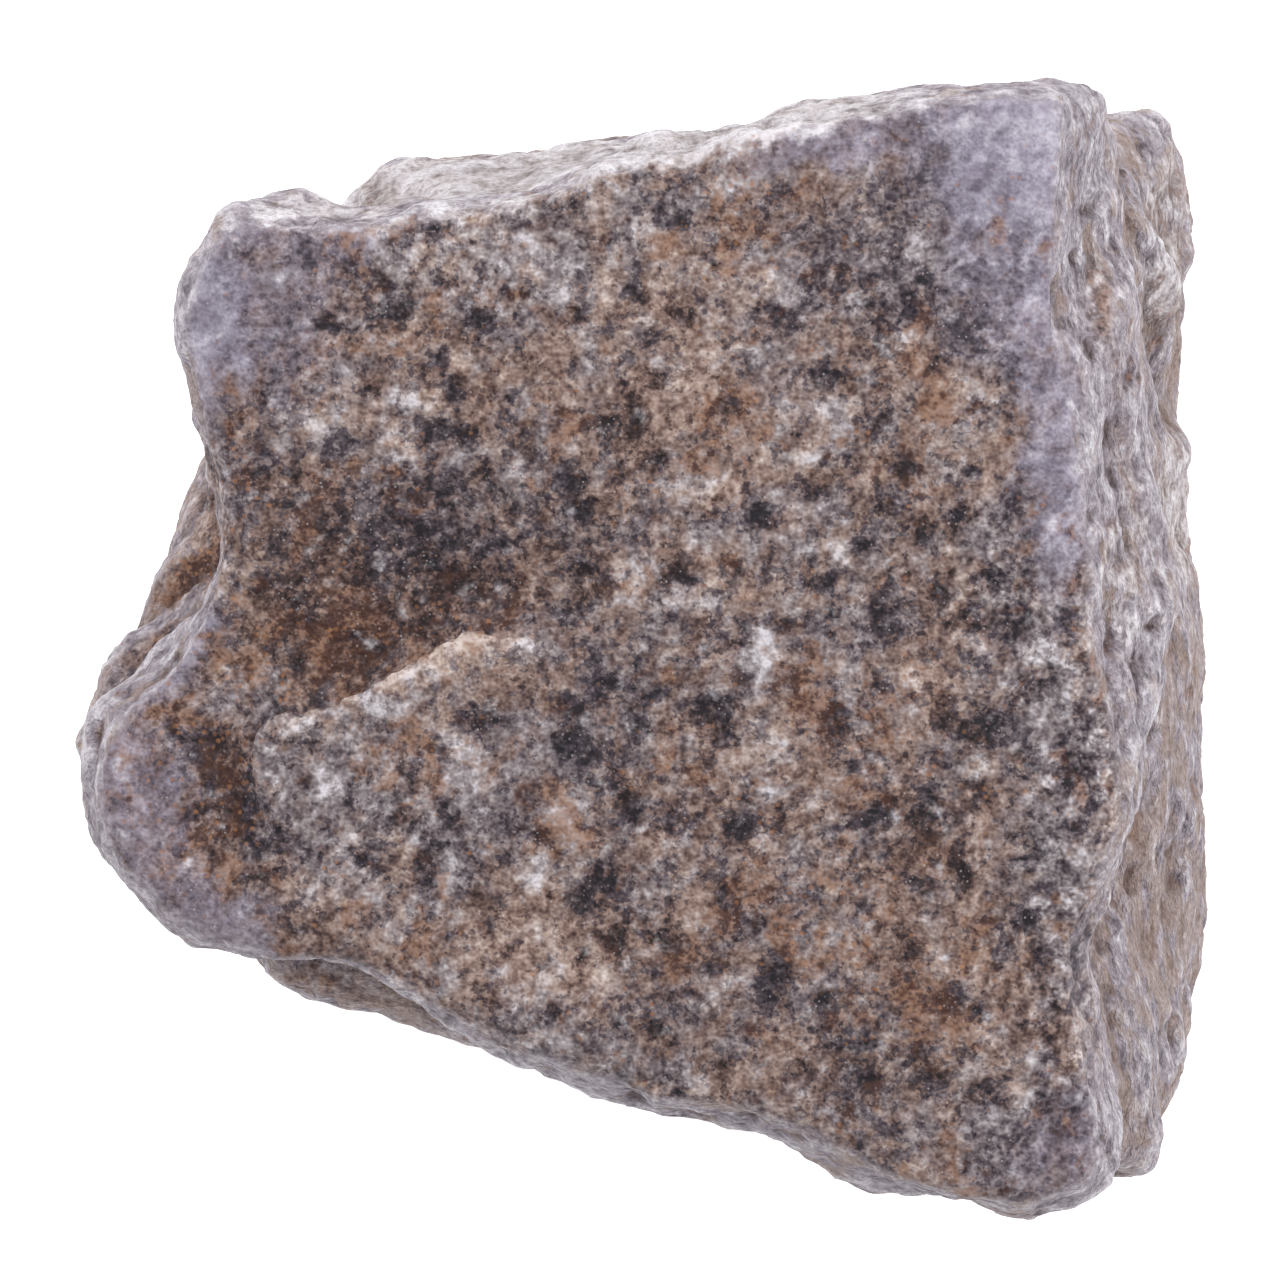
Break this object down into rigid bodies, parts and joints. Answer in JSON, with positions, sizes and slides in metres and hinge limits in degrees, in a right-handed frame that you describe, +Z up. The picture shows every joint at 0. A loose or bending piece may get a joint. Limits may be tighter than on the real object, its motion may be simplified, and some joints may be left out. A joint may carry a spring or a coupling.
{
  "type": "rough rock",
  "caption": "Small rough piece of layered, iron-stained stone with a broad flat split face, broken flanks and a flat resting side.",
  "frame": {"origin": "middle of the bounding box's underside, on the flat side that the rock rests on", "axes": "+Z up, out of the broad split face; +X towards the steep broken side with the back layers; +Y towards the higher end of the face"},
  "size_m": [0.0594, 0.057, 0.0376],
  "materials": {
    "stone": "raw split stone: coarse mottled grey, pinkish tan and near black grains, rust-brown iron stains, smooth bluish grey quartz margins, matt with fine sparkles"
  },
  "bodies": {
    "root": {"rock": "stone"}
  },
  "joints": []
}
